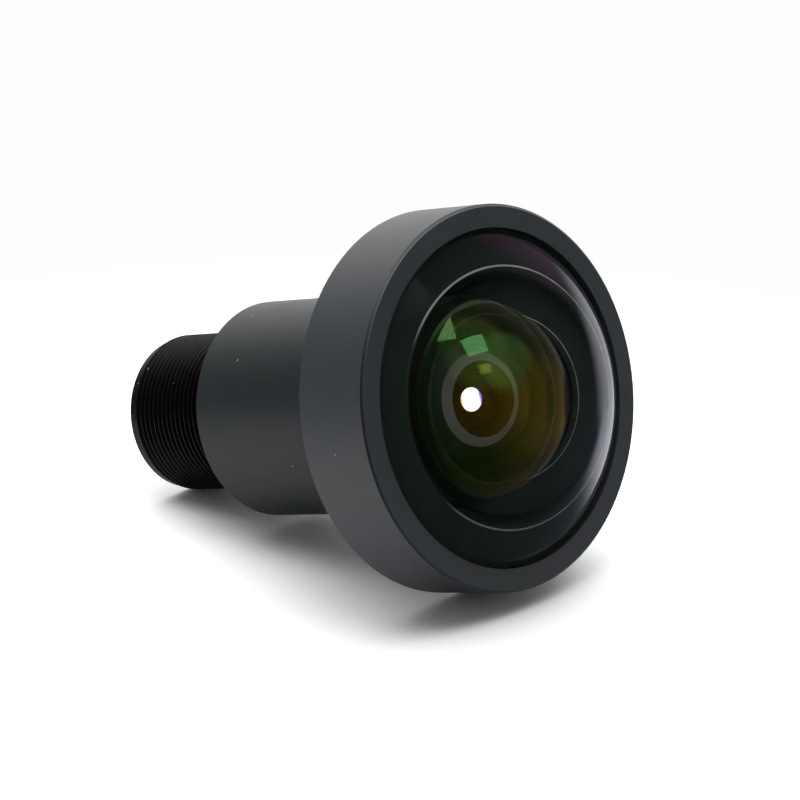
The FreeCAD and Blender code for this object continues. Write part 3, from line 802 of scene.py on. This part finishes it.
def coated_glass(name, ior, coat, grazing_coat=None):
    """Clear glass whose mirror image is weakened and tinted by a coat."""
    material = bpy.data.materials.new(name)
    material.use_nodes = True
    tree = material.node_tree
    skin = tree.nodes["Principled BSDF"]
    skin.inputs["Base Color"].default_value = (1.0, 1.0, 1.0, 1.0)
    skin.inputs["Roughness"].default_value = 0.0
    skin.inputs["IOR"].default_value = ior
    skin.inputs["Transmission Weight"].default_value = 1.0
    skin.inputs["Specular Tint"].default_value = (*coat, 1.0)
    if grazing_coat:
        slant = node_in(tree, "ShaderNodeLayerWeight", inputs={"Blend": 0.5}).outputs["Facing"]
        tint = mixed_colour(tree, slant, (*coat, 1.0), (*grazing_coat, 1.0))
        tree.links.new(tint, skin.inputs["Specular Tint"])
    return material


print("indices of refraction:", DENSE_GLASS, LIGHT_GLASS, FILTER_GLASS)

# %% [markdown]
# ## Ground and inked glass
# A ground zone is the matt grey of raw glass, with the fine pits that the abrasive leaves. Edges
# and flat seats are inked black, so that they don't scatter light. Both are the dark skin from
# above with other numbers. Ink behind thick glass looks lighter and greener than black metal,
# because the light that reaches it has crossed the coats.

# %% Ground and inked finishes
GROUND_SCALE = 14000.0
# the ink's own tone, painted lighter and greener for the light that crosses the coats; it is also
# the painted shade on one side of the bevel
INK_AND_SHADE_TONE = (0.033, 0.048, 0.036)


def ground_glass(name, tone, roughness=0.75):
    """The matt grey of ground glass, with the fine pits that the abrasive leaves."""
    return black_finish(
        name, tone, roughness, mottle=0.35, grain_microns=4, gloss=0.3, grain_scale=GROUND_SCALE
    )


def glass_ink(name, tone):
    """Flat ink, brushed onto the edge of a glass."""
    return black_finish(name, tone, roughness=0.8, mottle=0.2, grain_microns=2, gloss=0.05)


ground_pale = ground_glass("ground_pale", (0.10, 0.11, 0.09))
ground_dark = ground_glass("ground_dark", (0.05, 0.055, 0.05), roughness=0.8)
rim_grey = ground_glass("rim_grey", (0.42, 0.46, 0.33))
bevel_glass = ground_glass("bevel_glass", (0.58, 0.63, 0.61), roughness=0.6)
edge_ink = glass_ink("edge_ink", INK_AND_SHADE_TONE)
inner_ink = glass_ink("inner_ink", (0.014, 0.016, 0.008))
print("ground:", ground_pale.name, ground_dark.name, rim_grey.name, bevel_glass.name)
print("inked:", edge_ink.name, inner_ink.name)

# %% [markdown]
# ## Shade on one side of the bevel
# The front glass's rear bevel shows as a pale ring through the dome. On one side of the lens that
# ring fades into shade, and that side is painted with the dark tone of the ink, as painted shade.
# It is painted by place, with a share that grows along the piece's own X, so it stays there in
# every view.

# %% The shaded side of the bevel
BEVEL_SHADE_FROM, BEVEL_SHADE_TO = -4.6 * MM, -6.6 * MM
tree = bevel_glass.node_tree
parts = node_in(tree, "ShaderNodeSeparateXYZ")
feed(tree, parts.inputs["Vector"], node_in(tree, "ShaderNodeTexCoord").outputs["Object"])
# painted shade: the ink's tone laid over one side of the bevel
paint_over(bevel_glass, ramp(tree, parts.outputs["X"], BEVEL_SHADE_FROM, BEVEL_SHADE_TO), INK_AND_SHADE_TONE)
print("ink covers the bevel where X is below", round(BEVEL_SHADE_TO / MM, 1), "mm")

# %% [markdown]
# ## The front glass
# A thick dome gathers a very wide view, and a deep hollow behind makes it bend light strongly.
# A ledge round it sits under the cap's lip. Its place comes from the CAD piece that it stands
# for, and depths follow from the spheres, so the chain closes by itself.

# %% The front glass
dome, dome_edge, hollow, hollow_edge = 15.93, 12.15, 9.05, 7.95
ledge_radius, ledge_drop, bevel_edge, bevel_drop = 12.65, 0.2, 8.05, 0.1
station, flat = station_and_length("front_lens")
dome_depth = sag(dome, dome_edge)
ledge_depth = dome_depth + ledge_drop
bevel_top = flat - bevel_drop
front_glass = lathe_glass("front_glass", station, [
    (0, 0, dome, "dome"),
    (dome_edge, dome_depth, 0, "ink"),
    (dome_edge, ledge_depth, 0, "ink"),
    (ledge_radius, ledge_depth, 0, "ink"),
    (ledge_radius, flat, 0, "ink"),
    (bevel_edge, flat, 0, "bevel"),
    (hollow_edge, bevel_top, hollow, "hollow"),
    (0, bevel_top - sag(hollow, hollow_edge), 0, ""),
], ["dome", "hollow", "bevel", "ink"])
dress(
    front_glass,
    coated_glass("dome_coat", DENSE_GLASS, (0.008, 0.010, 0.014)),
    coated_glass("hollow_coat", DENSE_GLASS, (0.24, 0.95, 0.30)),
    bevel_glass,
    edge_ink,
)

# %% [markdown]
# ## The second glass
# The second glass flattens the view further. The greenish brown disc in the middle of the picture
# is the weak mirror image in its front, so its coat is the one that turns orange where it is
# slanted.

# %% The second glass
FACING_COAT, SLANTED_COAT = (0.22, 0.90, 0.24), (1.0, 0.50, 0.0)
front_sphere, front_edge, outside, edge_length = 14.2, 7.2, 8.4, 1.11
rear_sphere, rear_edge, seat_edge, seat_drop = 6.77, 5.6, 5.75, 0.15
station, rear = station_and_length("second_lens")
front_depth = sag(front_sphere, front_edge)
shoulder = front_depth + edge_length
seat_top = rear - seat_drop
second_glass = lathe_glass("second_glass", station, [
    (0, 0, front_sphere, "front"),
    (front_edge, front_depth, 0, "ink"),
    (front_edge, shoulder, 0, "ink"),
    (outside, shoulder, 0, "ink"),
    (outside, rear, 0, "ink"),
    (seat_edge, rear, 0, "ground"),
    (rear_edge, seat_top, rear_sphere, "rear"),
    (0, seat_top - sag(rear_sphere, rear_edge), 0, ""),
], ["front", "rear", "ground", "ink"])
dress(
    second_glass,
    coated_glass("second_front_coat", DENSE_GLASS, FACING_COAT, SLANTED_COAT),
    coated_glass("second_rear_coat", DENSE_GLASS, (0.50, 0.72, 0.04)),
    ground_pale,
    inner_ink,
)

# %% [markdown]
# ## The third glass
# The third glass is hollow on both sides. The flat that is left round its front hollow is ground,
# not inked, and it is the grey ring round the pupil.

# %% The third glass
AMBER_COAT = (0.62, 0.17, 0.03)
front_sphere, front_edge, outside = 15.4, 3.75, 5.15
rear_sphere, rear_edge = 7.0, 3.5
station, length = station_and_length("third_lens")
third_glass = lathe_glass("third_glass", station, [
    (0, sag(front_sphere, front_edge), -front_sphere, "front"),
    (front_edge, 0, 0, "ground"),
    (outside, 0, 0, "ink"),
    (outside, length, 0, "ink"),
    (rear_edge, length, rear_sphere, "rear"),
    (0, length - sag(rear_sphere, rear_edge), 0, ""),
], ["front", "rear", "ground", "ink"])
dress(
    third_glass,
    coated_glass("third_front_coat", LIGHT_GLASS, AMBER_COAT),
    coated_glass("third_rear_coat", LIGHT_GLASS, AMBER_COAT),
    rim_grey,
    edge_ink,
)

# %% [markdown]
# ## Lenses that bulge on both sides
# Three more glasses have the same form, two domes on a short inked cylinder, so one function
# makes them from a row of numbers each: outer radius, polished radius and the two spheres. The
# one in front of the stop still shows its warm coat. Those behind it are seen only from the rear,
# through the filter.

# %% Three bulging glasses
WARM_COAT = (0.42, 0.12, 0.03)
GREEN_COAT = (0.03, 0.07, 0.03)


def bulging_glass(name, node, outside, clear, front_sphere, rear_sphere, ior, coat):
    """A lens with two domes and inked rims. Its length is that of the CAD piece."""
    station, length = station_and_length(node)
    front_depth = sag(front_sphere, clear)
    rear_depth = length - sag(rear_sphere, clear)
    glass = lathe_glass(name, station, [
        (0, 0, front_sphere, "front"),
        (clear, front_depth, 0, "ink"),
        (outside, front_depth, 0, "ink"),
        (outside, rear_depth, 0, "ink"),
        (clear, rear_depth, -rear_sphere, "rear"),
        (0, length, 0, ""),
    ], ["front", "rear", "ink"])
    dress(
        glass,
        coated_glass(name + "_front_coat", ior, coat),
        coated_glass(name + "_rear_coat", ior, coat),
        edge_ink,
    )
    return glass


fourth_glass = bulging_glass(
    "fourth_glass", "fourth_lens", outside=5.15, clear=3.7,
    front_sphere=8.75, rear_sphere=22.3, ior=1.85, coat=WARM_COAT,
)
seventh_glass = bulging_glass(
    "seventh_glass", "seventh_lens", outside=4.3, clear=4.0,
    front_sphere=8.2, rear_sphere=14.0, ior=1.69, coat=GREEN_COAT,
)
rear_glass = bulging_glass(
    "rear_glass", "rear_lens", outside=4.3, clear=3.7,
    front_sphere=12.0, rear_sphere=30.0, ior=LIGHT_GLASS, coat=GREEN_COAT,
)

# %% [markdown]
# ## The cemented pair
# Behind the stop a bulging crown glass is glued to a flint glass, which brings the colours back
# together. They could be one body, but each has its own index, so each is turned by itself with
# the shared surface drawn in both. Cement leaves no mirror image to speak of, so the coat of
# those two surfaces is black.

# %% The cemented pair
FLINT_GLASS = 1.90
CEMENTED = (0.0, 0.0, 0.0)
outside, clear = 4.3, 3.6
cement_sphere, crown_sphere, flint_sphere = 7.07, 11.06, 24.1
cement_depth = sag(cement_sphere, outside)
crown_depth = sag(crown_sphere, clear)
station, length = station_and_length("crown_lens")
crown_glass = lathe_glass("crown_glass", station, [
    (0, 0, crown_sphere, "front"),
    (clear, crown_depth, 0, "ink"),
    (outside, crown_depth, 0, "ink"),
    (outside, length - cement_depth, -cement_sphere, "cement"),
    (0, length, 0, ""),
], ["front", "cement", "ink"])
dress(
    crown_glass,
    coated_glass("crown_coat", LIGHT_GLASS, GREEN_COAT),
    coated_glass("crown_cement", LIGHT_GLASS, CEMENTED),
    edge_ink,
)
station, length = station_and_length("flint_lens")
flint_depth = length - sag(flint_sphere, clear)
flint_glass = lathe_glass("flint_glass", station, [
    (0, cement_depth, -cement_sphere, "cement"),
    (outside, 0, 0, "ink"),
    (outside, flint_depth, 0, "ink"),
    (clear, flint_depth, -flint_sphere, "rear"),
    (0, length, 0, ""),
], ["cement", "rear", "ink"])
dress(
    flint_glass,
    coated_glass("flint_cement", FLINT_GLASS, CEMENTED),
    coated_glass("flint_coat", FLINT_GLASS, GREEN_COAT),
    edge_ink,
)

# %% [markdown]
# ## The infrared filter
# A thin flat disc in the rear ring keeps infrared light from the sensor. Its coat mirrors red,
# so from behind the lens shows a reddish pane.

# %% The infrared filter
FILTER_RADIUS = 4.1
station, length = station_and_length("infrared_filter")
filter_glass = lathe_glass("filter_glass", station, [
    (0, 0, 0, "front"),
    (FILTER_RADIUS, 0, 0, "ground"),
    (FILTER_RADIUS, length, 0, "rear"),
    (0, length, 0, ""),
], ["front", "rear", "ground"])
dress(
    filter_glass,
    coated_glass("filter_front_coat", FILTER_GLASS, (0.4, 0.2, 0.2)),
    coated_glass("filter_rear_coat", FILTER_GLASS, (0.9, 0.35, 0.45)),
    ground_dark,
)

# %% [markdown]
# ## Glass in its place
# Each glass rides on the barrel and stands for a piece of CAD, which is then hidden. Light crosses
# eighteen surfaces on its way through, so the bounces are raised to let it out again.

# %% Glass rides on the barrel
GLASS_BOUNCES = 36
GLOSS_BOUNCES = 8
STANDS_FOR = [
    (front_glass, "front_lens", "dome_glass"),
    (second_glass, "second_lens", "lens_glass"),
    (third_glass, "third_lens", "lens_glass"),
    (fourth_glass, "fourth_lens", "lens_glass"),
    (crown_glass, "crown_lens", "lens_glass"),
    (flint_glass, "flint_lens", "lens_glass"),
    (seventh_glass, "seventh_lens", "lens_glass"),
    (rear_glass, "rear_lens", "lens_glass"),
    (filter_glass, "infrared_filter", "filter_glass"),
]
for glass, node, finish_slot in STANDS_FOR:
    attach(glass, "barrel_group")
    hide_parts(node)
cycles = bpy.context.scene.cycles
cycles.max_bounces = GLASS_BOUNCES
cycles.transmission_bounces = GLASS_BOUNCES
cycles.glossy_bounces = GLOSS_BOUNCES
print("glasses:", len(STANDS_FOR), "bounces:", cycles.max_bounces)
